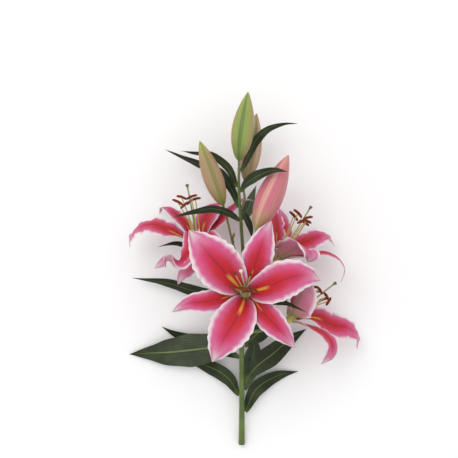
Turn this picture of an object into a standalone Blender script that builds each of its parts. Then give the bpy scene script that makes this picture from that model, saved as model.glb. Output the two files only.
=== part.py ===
"""A cut Oriental lily laid on its back: one leafy stem with four open flowers, four buds and an
aborted bud.

Design frame, in millimetres: X to the right, Y along the stem from its cut end to the topmost bud,
and Z up from the surface that the spray lies on. One empty carries the whole spray and puts the
origin at the bottom centre.
Every piece is a loft: a smooth path through a few points, with a closed ring of points at each
station of it.
"""

import math

import bmesh
import bpy
import numpy as np

MM = 0.001
# The middle of the resting spray's outline, in the design frame.
ORIGIN = (4.0, 216.0, 0.5)
# Gap between touching pieces.
CLEARANCE = 0.3

# Blades: petals, sepals and leaves.
TEPAL_THICKNESS = 1.3
TEPAL_ROOT_HALF_WIDTH = 2.4
LEAF_THICKNESS = 0.9
LEAF_ROOT_HALF_WIDTH = 1.9
TEPAL_STATIONS = 12
LEAF_STATIONS = 10

# The heart of a flower: a receptacle that carries the tepals, the stamens and the pistil.
RECEPTACLE_RADIUS = 5.4
RECEPTACLE_BELOW = 8.0
RECEPTACLE_ABOVE = 4.0
PETAL_SEAT_HEIGHT = 2.6
SEPAL_SEAT_HEIGHT = -1.2
FILAMENT_RING_RADIUS = 3.9
FILAMENT_RADIUS = 0.75
ANTHER_RADIUS = 1.5
OVARY_RADIUS = 2.0
OVARY_LENGTH = 16.0
STYLE_RADIUS = 0.95
STIGMA_RADIUS = 2.6

# The stem, from its cut end to the topmost stalk.
STEM_PATH = [(2.4, 0, 4.4), (2.6, 50, 14), (2.4, 98, 24), (2, 150, 35), (3.2, 200, 44.5),
             (3.6, 235, 50.5), (1.2, 275, 57), (-1.2, 312, 62.5), (-1.2, 342, 66)]
STEM_RADII = (3.9, 3.4, 3.0, 2.8, 2.5, 2.2, 2.0, 1.8, 1.6)
CUT_SLANT = 5.0

# Each flower: its heart, the way it opens, its stalk's path from the stem, then each tepal's half
# width, its roll in degrees at root and tip, and the path of its midrib from the heart outwards.
FLOWERS = {
    "front": {
        "heart": (6, 192, 84),
        "axis": (0.0, 0.05, 1.0),
        "stalk": (154, [(7, 166, 45), (8.5, 182, 56)]),
        "petals": {
            "upper_left": (26, 0, 0, [(-4, 202, 100), (-17, 216, 113), (-32, 233, 121), (-48, 252, 121),
                (-60.4, 266.7, 112)]),
            "right": (21.5, 0, 0, [(17, 195, 100), (33, 200, 113), (51, 209, 121), (70, 213.5, 120),
                (84, 212.5, 113), (95, 207, 101)]),
            "lower": (23.5, 0, 0, [(3.5, 181, 100), (-2, 168, 113), (-13, 150, 120), (-24, 130, 118),
                (-33, 111.5, 107)]),
        },
        "sepals": {
            "top": (17.5, 0, 0, [(10, 206, 95), (15, 219, 104), (22, 240, 110), (30, 263, 107),
                (36.7, 277.6, 97)]),
            "lower_right": (14.5, 0, 0, [(17, 182.5, 95), (26, 171, 104), (39, 157, 109),
                (53, 142, 106), (65, 127, 96)]),
            "left": (12.5, 0, 0, [(-8, 189.5, 95), (-22, 186, 104), (-41, 182.5, 109), (-62, 180, 105),
                (-81, 169.5, 94)]),
        },
        "pistil": [(5.4, 200, 112), (3, 209, 132), (0.4, 219.8, 145)],
        "stamens": [((3, 199, 135), (1, -0.05, 0), 15), ((15.5, 198, 134), (0.8, -0.6, 0.1), 15),
                    ((-6.5, 216, 137), (0.1, 0.25, 1), 14), ((11.5, 215, 136), (0.1, 0.2, 1), 14),
                    ((-8.5, 199, 128), (0.6, -0.75, 0.3), 14), ((9, 195.5, 126), (1, 0.1, 0), 13)],
    },
    "left": {
        "heart": (-50.4, 247.2, 60),
        "axis": (-0.17, 0.985, -0.02),
        "stalk": (203, [(-8, 211, 50), (-30, 224, 57)]),
        "petals": {
            "far_right": (17, 0, 0, [(-44.4, 268, 50), (-40, 284, 37), (-35, 296, 20), (-33, 298, 8),
                (-32, 289, 1)]),
            "long_left": (18, -32, -20, [(-68, 257, 60), (-88.8, 267, 58), (-105.6, 273, 55),
                (-122.4, 268.8, 51), (-132.6, 256.8, 47), (-133.2, 244.8, 43)]),
            "near_right": (16, 0, 0, [(-43, 261, 70), (-37, 252, 85), (-38, 236, 91), (-50, 224, 87),
                (-66, 215, 76), (-74.6, 201, 62)]),
        },
        "sepals": {
            "far_left": (9.5, 0, 0, [(-62.6, 268.9, 47.9), (-76.8, 284.7, 35.8), (-87, 293, 22), (-95, 294, 11),
                (-99, 286, 1)]),
            "long_right": (12, 15, 15, [(-39, 258, 59), (-26, 275.4, 51.5), (-12, 291, 43),
                (3.6, 303.6, 38), (17, 302, 32)]),
            "near_left": (13, 0, 0, [(-57, 262, 71), (-57, 255, 86), (-60, 242, 92), (-71, 231, 86),
                (-88, 230, 75), (-103, 220, 60)]),
        },
        "pistil": [(-55, 275, 60), (-59, 298, 61), (-63.6, 320.6, 63)],
        "stamens": [((-70, 306, 68), (0.95, -0.3, 0.1), 14), ((-75, 300.6, 62), (0.9, -0.45, 0), 15),
                    ((-66, 297, 70), (0.75, 0.6, 0.2), 14), ((-58, 306.6, 66), (0.93, 0.36, 0), 15),
                    ((-53.5, 304, 58), (0.9, 0.25, 0.2), 14), ((-60, 301, 54), (0.6, 0.5, -0.5), 13)],
    },
    "right": {
        "heart": (43.2, 231.6, 60),
        "axis": (0.56, 0.83, 0.0),
        "stalk": (206, [(10, 212, 50), (24, 218, 56)]),
        "petals": {
            "near": (21, 0, 0, [(56, 240, 76), (69.6, 246, 88), (80, 243, 95), (84, 235, 94),
                (80, 228, 87)]),
            "far_right": (13, 22, 22, [(60, 243.6, 54), (78, 251.5, 46), (90, 256.5, 40),
                (101, 260, 34), (110, 256, 28), (116.4, 246, 22)]),
            "upper_left": (17, -15, -15, [(43, 247, 58), (43.8, 266, 54), (42, 285.6, 46),
                (34, 297, 36), (23, 298.8, 28)]),
        },
        "sepals": {
            "long_right": (13, 8, 8, [(60, 233, 61), (79.2, 235.2, 60), (98.4, 239.4, 58),
                (116.4, 234, 54), (126.6, 219.6, 48), (122.4, 202.8, 42)]),
            "far_top": (14, 0, 0, [(48, 242.4, 50), (52, 257, 38), (54, 273.6, 26), (52, 288, 12),
                (46, 296, 2)]),
            "near_left": (11, 0, 0, [(38, 247, 72), (33, 250, 86), (25, 247, 92), (18, 238, 90),
                (16, 226, 82)]),
        },
        "pistil": [(58, 252, 60), (72, 273, 61), (85, 294.4, 62)],
        "stamens": [((69.6, 286.8, 66), (0.71, -0.71, 0.1), 15), ((64.8, 283.8, 60), (0.66, -0.75, 0), 16),
                    ((81.6, 281.5, 68), (0.95, 0.23, 0.1), 13), ((74.4, 277.2, 70), (0.9, 0.3, -0.1), 13),
                    ((80.4, 277.2, 60), (0.9, -0.3, 0.2), 13), ((78, 275.6, 53), (0.86, -0.5, 0), 14)],
    },
    "lower": {
        "heart": (61.2, 160.8, 60),
        "axis": (0.79, 0.61, 0.0),
        "stalk": (138, [(10, 141, 36), (34, 147, 51)]),
        "petals": {
            "near_top": (24, 0, 0, [(66, 174, 76), (71, 186, 88), (76, 200, 95), (74, 211, 95),
                (67, 217, 88)]),
            "long_right": (17, 38, 30, [(79.2, 161.5, 56), (95.5, 159, 48), (112.8, 151.2, 42),
                (130.8, 147.6, 36), (143.4, 136.8, 30), (143.4, 119.4, 24)]),
            "far_top": (14, 0, 0, [(65, 179.5, 48), (67, 193.5, 34), (70, 205, 18), (65, 212, 6)]),
        },
        "sepals": {
            "downward": (13, 15, 35, [(72, 155, 70), (86.4, 149.5, 78), (99.6, 143, 80), (109, 132, 76),
                (109.2, 117.6, 68), (97.2, 104.4, 58)]),
            "far_right": (10, 0, 0, [(76, 167, 44), (89, 169, 30), (99, 167, 16), (106, 162.5, 6),
                (104, 156, 1.5)]),
            "hidden_left": (10, 0, 0, [(58, 175, 64), (53, 187, 74), (47, 193.5, 82), (40, 193, 86)]),
        },
        "pistil": [(78, 174, 60), (96, 188.5, 61), (114.7, 203.2, 62)],
        "stamens": [((95.4, 195, 68), (0.6, -0.8, 0.1), 13), ((89, 198, 62), (1, 0.1, 0.2), 13),
                    ((92.4, 192, 55), (0.95, 0.2, -0.2), 13), ((103.8, 187.2, 66), (0.5, -0.85, 0.1), 12),
                    ((101, 183.5, 58), (0.95, 0.3, 0.1), 12), ((107.5, 181, 51), (0.5, 0.85, 0.1), 12)],
    },
}

# Each bud: its stalk's path from the stem, then the bud's base and tip, its greatest radius and its
# stalk's radius.
BUDS = {
    "top": (None, [(-1.2, 342.4, 66.05)], (-1.2, 349.8, 67), (9.6, 431.4, 72), 12.4, 1.5,
        (0.46, 0.60, 0.20)),
    "back": (293, [(5.6, 304, 51), (4.4, 317, 46.5)], (7.2, 325.8, 44), (20.4, 408, 40), 11.5, 1.4,
        (0.42, 0.36, 0.24)),
    "left": (233, [(-8, 248, 55), (-15.6, 279.6, 61)], (-20.4, 296.4, 64),
        (-48.5, 373.2, 68), 11.2, 1.4, (0.50, 0.42, 0.28)),
    "pink": (230, [(15, 243, 64), (21, 256, 74)], (19.2, 267.6, 80), (57.6, 355.8, 80), 14.4, 1.7,
        (0.74, 0.36, 0.42)),
}
ABORTED_BUD = [(-7.4, 251, 58), (-8.4, 256, 59), (-6.9, 262.5, 61)]

# Each leaf: half width, fold, the way its upper face looks, and the path of its midrib from the
# stem outwards.
LEAVES = {
    "leaf_top_right": (5.5, 0.25, (0.2, -0.5, 1), 338, [(10, 356, 57), (19, 374, 56.5), (34, 388, 61),
        (54, 393.5, 65), (69.6, 393.6, 67)]),
    "leaf_over_pink_bud": (6.5, 0.3, (0, 0.2, 1), 314, [(9, 323, 76), (22, 331, 92), (39, 336.5, 99),
        (57, 335.2, 98)]),
    "leaf_behind_stem": (7, 0.1, (0, 0, -1), 279, [(10, 292, 38), (14.4, 306, 26), (20.4, 321.6, 20)]),
    "leaf_upper_left": (4.6, 0.25, (0, 0.3, 1), 320, [(-14.4, 341, 52), (-34.8, 357, 45),
        (-53, 359, 41), (-72, 362.4, 39)]),
    "leaf_left": (6.2, 0.25, (0.3, 0.3, 1), 296, [(-10, 315, 49), (-26, 336, 38), (-50, 346, 31),
        (-70, 355, 29), (-92, 364.8, 29)]),
    "bract_arching": (4.6, 0.3, (0, -0.3, 1), 280, [(-14.4, 287, 74), (-31, 291.5, 81),
        (-48, 289.5, 83), (-64, 286, 82), (-81.6, 280.8, 78)]),
    "bract_short": (4.2, 0.35, (0.5, 0, 1), 286, [(9, 276.5, 63), (12.5, 267, 63), (14, 256, 60)]),
    "bract_left_flower": (5.8, 0.2, (0, 0.3, 1), 196, [(-14, 212, 44), (-38, 232, 42), (-58, 244, 42),
        (-78, 250, 38), (-100.8, 245.5, 34)]),
    "leaf_long_left": (6.8, 0.2, (0, 0.3, 1), 180, [(-30, 186, 26), (-57.6, 192, 18), (-90, 201.6, 14),
        (-133.2, 207.6, 12)]),
    "leaf_broad_left": (20, 0.12, (0, 0, 1), 127, [(-24, 126, 22), (-45, 121, 17), (-87, 116, 10),
        (-116, 114.5, 6), (-137, 113, 3)]),
    "leaf_pointed_left": (8.5, 0.2, (0, 0, 1), 112, [(-25, 121, 13), (-52, 129, 7), (-78, 137.5, 5),
        (-97.2, 147.6, 3)]),
    "leaf_low_left": (9, 0.2, (0, 0, 1), 66, [(-14, 84, 11), (-36, 97, 6), (-72, 108, 3)]),
    "leaf_right_behind": (11, 0.15, (0, 0, 1), 126, [(19, 138, 31), (35, 150, 30), (54, 161, 26)]),
    "leaf_upright": (11, 0.15, (0, 0, -1), 72, [(12, 96, 12), (17.5, 118, 9), (16, 144, 7)]),
    "leaf_broad_right": (12.5, 0.2, (0, 0, 1), 84, [(20.4, 99.6, 25), (40, 114.5, 22), (54, 126, 17),
        (69.6, 136.8, 12), (82.8, 145.2, 8)]),
    "leaf_low_right": (9, 0.2, (0, 0, 1), 44, [(20, 70, 9), (45, 86, 5), (73, 92, 1.2)]),
    "bract_lower_flower": (4.8, 0.25, (0, 0.3, 1), 184, [(15, 184, 54), (25, 184, 78), (40, 182, 92),
        (57, 179, 97), (79, 169, 95)]),
}

TEPAL_COLOUR = (0.62, 0.06, 0.16)
STEM_COLOUR = (0.06, 0.09, 0.03)
LEAF_COLOUR = (0.05, 0.07, 0.025)
FILAMENT_COLOUR = (0.40, 0.12, 0.04)
PISTIL_COLOUR = (0.45, 0.55, 0.30)


def clear_scene():
    for old in list(bpy.data.objects):
        bpy.data.objects.remove(old, do_unlink=True)


def unit(vector):
    vector = np.asarray(vector, float)
    return vector / np.linalg.norm(vector, axis=-1, keepdims=True)


def smooth_path(points, count):
    """Points and unit tangents at equal steps along the Catmull-Rom curve that passes through the
    given points."""
    knots = np.array(points, float)
    ends = np.vstack([2 * knots[0] - knots[1], knots, 2 * knots[-1] - knots[-2]])
    t = np.linspace(0, 1, 24, endpoint=False)[:, None]
    fine = []
    for a, b, c, d in zip(ends, ends[1:], ends[2:], ends[3:]):
        fine.append(b + 0.5 * t * (c - a + t * (2 * a - 5 * b + 4 * c - d + t * (3 * b - a - 3 * c + d))))
    fine = np.vstack([*fine, knots[-1:]])
    along = np.concatenate([[0], np.cumsum(np.linalg.norm(np.diff(fine, axis=0), axis=1))])
    at = np.linspace(0, along[-1], count)
    path = np.column_stack([np.interp(at, along, fine[:, k]) for k in range(3)])
    return path, unit(np.gradient(path, axis=0)), along[-1]


def stem_seat(height, towards):
    """Two points that lead a stalk or a leaf squarely off the stem's skin at this height, on the
    side it grows to."""
    path, tangents, _ = smooth_path(STEM_PATH, 200)
    nearest = np.argmin(np.abs(path[:, 1] - height))
    radius = np.interp(nearest, np.linspace(0, 199, len(STEM_RADII)), STEM_RADII)
    outward = np.array(towards, float) - path[nearest]
    outward = unit(outward - np.dot(outward, tangents[nearest]) * tangents[nearest])
    skin = path[nearest] + outward * (radius + 2.4 * CLEARANCE)
    return skin, skin + outward * 2


def finish(name, mesh, colour, roughness, spray):
    """Puts a mesh in the scene under its name, smooth, with its own material, carried by the
    spray's empty."""
    obj = bpy.data.objects.new(name, mesh)
    bpy.context.scene.collection.objects.link(obj)
    obj.parent = spray
    mesh.shade_smooth()
    material = bpy.data.materials.new(name)
    material.use_nodes = True
    shader = material.node_tree.nodes["Principled BSDF"]
    shader.inputs["Base Color"].default_value = (*colour, 1)
    shader.inputs["Roughness"].default_value = roughness
    shader.inputs["Metallic"].default_value = 0
    mesh.materials.append(material)
    return obj


def loft(name, rings, tip=None):
    """A closed body through rings of points, capped flat at the start, and at the end too unless it
    has a tip."""
    bm = bmesh.new()
    loops = [[bm.verts.new(point * MM) for point in ring] for ring in rings]
    for low, high in zip(loops, loops[1:]):
        for k in range(len(low)):
            after = (k + 1) % len(low)
            bm.faces.new((low[k], low[after], high[after], high[k]))
    bm.faces.new(loops[0][::-1])
    if tip is None:
        bm.faces.new(loops[-1])
    else:
        point = bm.verts.new(np.asarray(tip, float) * MM)
        for k in range(len(loops[-1])):
            bm.faces.new((loops[-1][k], loops[-1][(k + 1) % len(loops[-1])], point))
    bmesh.ops.recalc_face_normals(bm, faces=bm.faces)
    mesh = bpy.data.meshes.new(name)
    bm.to_mesh(mesh)
    bm.free()
    return mesh


def round_rings(path, tangents, radii, sides):
    """Circles of points across a path, turned from station to station without twisting."""
    across = unit(np.cross(tangents[0], (0.3, 0.2, 1.0)))
    angles = np.arange(sides) * 2 * math.pi / sides
    rings = []
    for point, tangent, radius in zip(path, tangents, radii):
        across = unit(across - np.dot(across, tangent) * tangent)
        other = np.cross(tangent, across)
        rings.append(point + radius * (np.outer(np.cos(angles), across) + np.outer(np.sin(angles), other)))
    return rings


def blade_rings(path, tangents, side, half_widths, bend, roll, thickness):
    """Lens-shaped rings across a path. bend lifts the edges towards the face, and roll turns the
    blade round its path."""
    across = np.array([-1, -0.5, 0, 0.5, 1, 0.5, 0, -0.5])
    skin = np.array([0, 1, 1, 1, 0, -1, -1, -1])
    side = unit(side - (tangents @ side)[:, None] * tangents)
    face = np.cross(tangents, side)
    turn = np.radians(roll)[:, None]
    side, face = side * np.cos(turn) + face * np.sin(turn), face * np.cos(turn) - side * np.sin(turn)
    flat = (half_widths[:, None] * across)[:, :, None] * side[:, None, :]
    lift = (bend * half_widths)[:, None] * across**2 + 0.5 * thickness[:, None] * skin * (1 - 0.6 * across**2)
    return path[:, None, :] + flat + lift[:, :, None] * face[:, None, :]


def tepal(name, heart, axis, seat_height, seat_radius, row, spray):
    """A petal or sepal: its claw stands on the receptacle, and its face looks at the flower's axis,
    then forwards."""
    half_width, roll_root, roll_tip, points = row
    outward = np.array(points[len(points) // 2], float) - heart
    outward = unit(outward - np.dot(outward, axis) * axis)
    first = np.array(points[0], float) - heart
    first = unit(first - np.dot(first, axis) * axis)
    root = heart + axis * seat_height + first * seat_radius
    path, tangents, _ = smooth_path([root, *points], TEPAL_STATIONS)
    t = np.linspace(0, 1, TEPAL_STATIONS)
    swell = np.sin(math.pi * t**0.97) ** 1.1
    half_widths = TEPAL_ROOT_HALF_WIDTH * (1 - t) + (half_width - 0.5 * TEPAL_ROOT_HALF_WIDTH) * swell
    bend = 0.42 * np.clip(1 - t / 0.4, 0, 1) - 0.10 * np.clip((t - 0.4) / 0.3, 0, 1)
    roll = (roll_root + (roll_tip - roll_root) * t) * np.clip(4 * t - 0.3, 0, 1)
    thickness = TEPAL_THICKNESS * (1.2 - 0.7 * t)
    rings = blade_rings(path, tangents, np.cross(axis, outward), half_widths, bend, roll, thickness)
    finish(name, loft(name, rings[:-1], path[-1]), TEPAL_COLOUR, 0.5, spray)


def leaf(name, row, spray):
    """A leaf or bract: narrow where it clasps the stem, widest before the middle, drawn out to a point."""
    half_width, fold, upper, stem_height, points = row
    seat = stem_seat(stem_height, points[0])
    path, tangents, _ = smooth_path([*seat, *points], LEAF_STATIONS)
    tangents[0] = unit(seat[1] - seat[0])
    t = np.linspace(0, 1, LEAF_STATIONS)
    swell = np.sin(math.pi * t**0.85) ** 1.15
    half_widths = LEAF_ROOT_HALF_WIDTH * (1 - t) + (half_width - 0.5 * LEAF_ROOT_HALF_WIDTH) * swell
    side = np.cross(np.array(upper, float), unit(path[-1] - path[0]))
    thickness = LEAF_THICKNESS * (1.2 - 0.6 * t)
    rings = blade_rings(path, tangents, unit(side), half_widths, np.full_like(t, fold), 0 * t, thickness)
    finish(name, loft(name, rings[:-1], path[-1]), LEAF_COLOUR, 0.45, spray)


def receptacle(name, heart, axis):
    heights = np.array([-RECEPTACLE_BELOW, -5.5, -2.5, 2.5, RECEPTACLE_ABOVE])
    radii = RECEPTACLE_RADIUS * np.array([0.55, 0.78, 0.97, 1.0, 0.9])
    path = heart + heights[:, None] * axis
    return loft(name, round_rings(path, np.tile(axis, (5, 1)), radii, 12))


def stamen(name, heart, axis, place, anther, length):
    """A filament from the receptacle's rim to the back of its anther, and the anther across its end."""
    centre = np.array(place, float)
    outward = centre - heart
    outward = unit(outward - np.dot(outward, axis) * axis)
    root = heart + axis * (RECEPTACLE_ABOVE - 1.0) + outward * FILAMENT_RING_RADIUS
    knee = root + axis * 0.45 * np.dot(centre - root, axis) + outward * 1.5
    path, tangents, _ = smooth_path([root, knee, centre], 5)
    radii = FILAMENT_RADIUS * np.array([1.25, 1.15, 1.0, 0.9, 0.8])
    filament = loft(name + "_filament", round_rings(path, tangents, radii, 5))
    ends = unit(anther) * length / 2
    path, tangents, _ = smooth_path([centre - ends, centre, centre + ends], 5)
    pod = round_rings(path, tangents, ANTHER_RADIUS * np.array([0.35, 0.9, 1.0, 0.9, 0.35]), 6)
    return filament, loft(name + "_anther", pod)


def androecium(name, flower, heart, axis, spray):
    """The receptacle with its six stamens, as one body."""
    obj = finish(name, receptacle(name, heart, axis), FILAMENT_COLOUR, 0.6, spray)
    helpers = bpy.data.collections.new(name + "_stamens")
    bpy.context.scene.collection.children.link(helpers)
    for number, (place, anther, length) in enumerate(flower["stamens"]):
        for mesh in stamen(f"{name}_{number}", heart, axis, place, anther, length):
            helper = bpy.data.objects.new(mesh.name, mesh)
            helper.hide_render = True
            helper.display_type = "WIRE"
            helper.parent = spray
            helpers.objects.link(helper)
    union = obj.modifiers.new("stamens", "BOOLEAN")
    union.operation = "UNION"
    union.solver = "EXACT"
    union.operand_type = "COLLECTION"
    union.collection = helpers
    union.use_self = True


def pistil(name, points, heart, axis, spray):
    """The ovary, the style and the three-lobed stigma."""
    root = heart + axis * (RECEPTACLE_ABOVE + CLEARANCE)
    path, tangents, length = smooth_path([root, root + axis * OVARY_LENGTH, *points], 9)
    along = np.linspace(0, length, 9)
    radii = np.where(along < OVARY_LENGTH, OVARY_RADIUS, STYLE_RADIUS)
    radii[0] = 0.8 * OVARY_RADIUS
    radii[-2:] = STYLE_RADIUS, STIGMA_RADIUS
    rings = round_rings(path, tangents, radii, 6)
    top = path[-1] + tangents[-1] * 1.2
    finish(name, loft(name, rings, top), PISTIL_COLOUR, 0.4, spray)


def flower_stalk(name, row, heart, axis, spray):
    """A flower's stalk, from the stem's skin to the underside of its receptacle."""
    stem_height, points = row
    under = heart - axis * (RECEPTACLE_BELOW + CLEARANCE)
    seat = stem_seat(stem_height, points[0])
    path, tangents, _ = smooth_path([*seat, *points, under - axis * 7, under], 9)
    tangents[0] = unit(seat[1] - seat[0])
    tangents[-1] = axis
    radii = np.array([1.9, 1.9, 1.9, 2.0, 2.1, 2.2, 2.4, 2.6, 2.8])
    finish(name, loft(name, round_rings(path, tangents, radii, 8)), STEM_COLOUR, 0.5, spray)


def flower(name, row, spray):
    heart = np.array(row["heart"], float)
    axis = unit(row["axis"])
    flower_stalk(name + "_flower_stalk", row["stalk"], heart, axis, spray)
    seat = RECEPTACLE_RADIUS + CLEARANCE + 0.6 * TEPAL_THICKNESS
    for place, tepal_row in row["petals"].items():
        tepal(f"{name}_petal_{place}", heart, axis, PETAL_SEAT_HEIGHT, seat, tepal_row, spray)
    for place, tepal_row in row["sepals"].items():
        tepal(f"{name}_sepal_{place}", heart, axis, SEPAL_SEAT_HEIGHT, seat + 0.2, tepal_row, spray)
    androecium(name + "_stamens", row, heart, axis, spray)
    pistil(name + "_pistil", row["pistil"], heart, axis, spray)


def bud(name, row, spray):
    """A closed bud on its stalk: a slim spindle, fullest below its middle, with a blunt tip."""
    stem_height, stalk, base, tip, radius, stalk_radius, colour = row
    base = np.array(base, float)
    tip = np.array(tip, float)
    spine = [base + (tip - base) * part for part in (0, 0.33, 0.66, 1)]
    if stem_height is not None:
        stalk = [*stem_seat(stem_height, stalk[0]), *stalk]
    stalk_path, _, _ = smooth_path([*stalk, base], 2 + len(stalk))
    path, tangents, _ = smooth_path(spine, 11)
    t = np.linspace(0, 1, 11)
    radii = stalk_radius * 1.3 * (1 - t) + radius * np.sin(math.pi * t**0.86) ** 0.8
    whole = np.vstack([stalk_path[:-1], path])
    whole_tangents = unit(np.gradient(whole, axis=0))
    whole_tangents[len(stalk_path):] = tangents[1:]
    whole_tangents[0] = unit(np.subtract(stalk[1] if len(stalk) > 1 else base, stalk[0]))
    radii = np.concatenate([np.full(len(stalk_path) - 1, stalk_radius), radii])
    rings = round_rings(whole[:-1], whole_tangents[:-1], radii[:-1], 8)
    finish(name, loft(name, rings, whole[-1]), colour, 0.45, spray)


def aborted_bud(name, points, spray):
    path, tangents, _ = smooth_path(points, 5)
    rings = round_rings(path, tangents, np.array([0.8, 0.8, 0.8, 1.5, 1.0]), 6)
    finish(name, loft(name, rings), STEM_COLOUR, 0.6, spray)


def stem(spray):
    """The main stem, round and tapering, with a slanting cut at its foot."""
    path, tangents, _ = smooth_path(STEM_PATH, 19)
    radii = np.interp(np.linspace(0, 1, 19), np.linspace(0, 1, len(STEM_RADII)), STEM_RADII)
    rings = round_rings(path, tangents, radii, 8)
    foot = rings[0]
    foot[:, 1] += CUT_SLANT * (foot[:, 2] - foot[:, 2].min()) / (2 * radii[0])
    finish("stem", loft("stem", rings), STEM_COLOUR, 0.55, spray)


def build():
    clear_scene()
    spray = bpy.data.objects.new("spray", None)
    bpy.context.scene.collection.objects.link(spray)
    spray.location = [-value * MM for value in ORIGIN]
    stem(spray)
    for name, row in FLOWERS.items():
        flower(name, row, spray)
    for name, row in BUDS.items():
        bud(name + "_bud", row, spray)
    aborted_bud("aborted_bud", ABORTED_BUD, spray)
    for name, row in LEAVES.items():
        leaf(name, row, spray)


build()
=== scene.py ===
"""A cut Oriental lily laid on a pale surface: one leafy stem, four open flowers and their closed buds."""

import math

import bpy
import numpy as np
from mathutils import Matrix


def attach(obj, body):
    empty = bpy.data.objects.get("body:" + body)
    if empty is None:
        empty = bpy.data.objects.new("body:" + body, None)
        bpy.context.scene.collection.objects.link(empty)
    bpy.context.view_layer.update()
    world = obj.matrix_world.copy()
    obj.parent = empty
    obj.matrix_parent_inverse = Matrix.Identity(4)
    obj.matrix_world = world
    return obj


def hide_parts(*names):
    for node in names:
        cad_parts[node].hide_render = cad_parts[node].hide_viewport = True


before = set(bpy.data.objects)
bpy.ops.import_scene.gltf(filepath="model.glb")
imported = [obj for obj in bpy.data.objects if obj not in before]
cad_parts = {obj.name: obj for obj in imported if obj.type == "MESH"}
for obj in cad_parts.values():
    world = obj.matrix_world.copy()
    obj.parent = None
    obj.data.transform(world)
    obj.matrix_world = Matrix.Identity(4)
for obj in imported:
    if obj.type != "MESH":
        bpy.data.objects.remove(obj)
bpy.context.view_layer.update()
MM = 0.001
# The middle of the lying spray, in the millimetre rows below.
ORIGIN = np.array((4.0, 216.0, 0.5))

# ---- Stem ------------------------------------------------------------------------------------------
# The main stem is one living green rod of fibrous tissue, 8 mm thick at its slanting knife cut and half
# that under the topmost bud. Every leaf and stalk grows out of its side.
# The stem's middle line and its radii, both from the cut end up, in millimetres.
STEM_PATH = [(2.4, 0, 4.4), (2.6, 50, 14), (2.4, 98, 24), (2, 150, 35), (3.2, 200, 44.5),
             (3.6, 235, 50.5), (1.2, 275, 57), (-1.2, 312, 62.5), (-1.2, 342, 66)]
STEM_RADII = (3.9, 3.4, 3.0, 2.8, 2.5, 2.2, 2.0, 1.8, 1.6)
# How far the cut end slants along the stem.
CUT_SLANT = 5.0
STEM_ROWS = 150
STEM_SIDES = 32
# The gap between two pieces that grow together, and the wider one where a stalk or leaf leaves the stem.
CLEARANCE = 0.3
SKIN_GAP = 0.7


def unit(vector):
    """v / |v|, along the last axis."""
    vector = np.asarray(vector, float)
    return vector / np.linalg.norm(vector, axis=-1, keepdims=True)


def smooth_path(points, count):
    """Catmull-Rom: p(t) = b + t/2 (c - a) + t^2/2 (2a - 5b + 4c - d) + t^3/2 (3b - a - 3c + d), respaced
    to count equal steps. Returns points, unit tangents and length."""
    knots = np.array(points, float)
    ends = np.vstack([2 * knots[0] - knots[1], knots, 2 * knots[-1] - knots[-2]])
    t = np.linspace(0, 1, 24, endpoint=False)[:, None]
    fine = []
    for a, b, c, d in zip(ends, ends[1:], ends[2:], ends[3:]):
        fine.append(b + 0.5 * t * (c - a + t * (2 * a - 5 * b + 4 * c - d + t * (3 * b - a - 3 * c + d))))
    fine = np.vstack([*fine, knots[-1:]])
    along = np.concatenate([[0], np.cumsum(np.linalg.norm(np.diff(fine, axis=0), axis=1))])
    at = np.linspace(0, along[-1], count)
    path = np.column_stack([np.interp(at, along, fine[:, k]) for k in range(3)])
    return path, unit(np.gradient(path, axis=0)), along[-1]


def tube(path, tangents, radii, sides):
    """Rings p(s, a) = path(s) + r(s, a) (cos a u(s) + sin a v(s)), u carried along without twisting."""
    across = unit(np.cross(tangents[0], (0.3, 0.2, 1.0)))
    angles = np.arange(sides) * 2 * math.pi / sides
    radii = np.broadcast_to(np.asarray(radii, float).reshape(len(path), -1), (len(path), sides))
    rings = []
    for point, tangent, radius in zip(path, tangents, radii):
        across = unit(across - np.dot(across, tangent) * tangent)
        other = np.cross(tangent, across)
        turned = np.outer(np.cos(angles), across) + np.outer(np.sin(angles), other)
        rings.append(point + radius[:, None] * turned)
    return np.array(rings)


def skin_of(rings, tip=None):
    """Points and faces of the closed body through (stations, sides, 3) rings, a fan of triangles closing
    each end, turned so that its volume sum(a . b x c) / 6 is positive."""
    stations, sides = rings.shape[:2]
    ends = [rings[0].mean(axis=0), rings[-1].mean(axis=0) if tip is None else tip]
    points = np.vstack([rings.reshape(-1, 3), ends])
    low = (np.arange(stations - 1)[:, None] * sides + np.arange(sides)).ravel()
    after = (np.arange(stations - 1)[:, None] * sides + (np.arange(sides) + 1) % sides).ravel()
    quads = np.column_stack([low, after, after + sides, low + sides])
    k = np.arange(sides)
    first = np.column_stack([(k + 1) % sides, k, np.full(sides, stations * sides)])
    base = (stations - 1) * sides
    last = np.column_stack([base + k, base + (k + 1) % sides, np.full(sides, stations * sides + 1)])
    thirds = np.vstack([quads[:, [0, 1, 2]], quads[:, [0, 2, 3]], first, last])
    a, b, c = (points[thirds[:, n]] - points.mean(axis=0) for n in range(3))
    faces = [*quads.tolist(), *first.tolist(), *last.tolist()]
    if np.einsum("ij,ij->", a, np.cross(b, c)) < 0:
        faces = [face[::-1] for face in faces]
    return points, faces


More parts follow.
